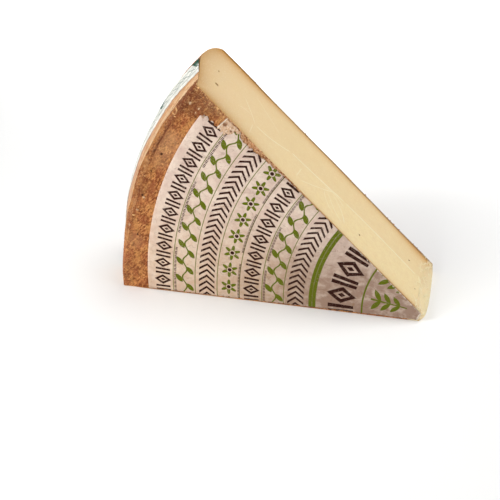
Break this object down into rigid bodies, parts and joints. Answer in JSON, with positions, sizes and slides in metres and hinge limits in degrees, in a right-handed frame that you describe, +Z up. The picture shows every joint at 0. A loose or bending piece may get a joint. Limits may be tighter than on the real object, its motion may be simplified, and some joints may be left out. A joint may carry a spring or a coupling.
{
  "type": "hard mountain cheese wedge",
  "caption": "Tall wedge of firm pale cheese with a grainy brown rind, cut from a flat wheel and standing on its cut, with a paper label on its face and a paper band round its heel.",
  "frame": {"origin": "middle of the outline seen from above, on the plane of the lower cut that the wedge stands on", "axes": "+X from the heel to the tip, +Y from the labelled face to the bare face, +Z up from the lower cut"},
  "size_m": [0.309, 0.0912, 0.2254],
  "materials": {
    "cheese_paste": "smooth cut cheese, pale straw, a little waxy",
    "cheese_rind": "dry grainy brown rind",
    "label_paper": "matt greyish pink paper, slightly wrinkled",
    "band_paper": "matt pale grey paper",
    "print_green": "leaf green print on paper",
    "print_brown": "dark brown print on paper"
  },
  "bodies": {
    "root": {"cheese_wedge": "cheese_paste", "face_label": "label_paper", "side_band": "band_paper"}
  },
  "joints": []
}
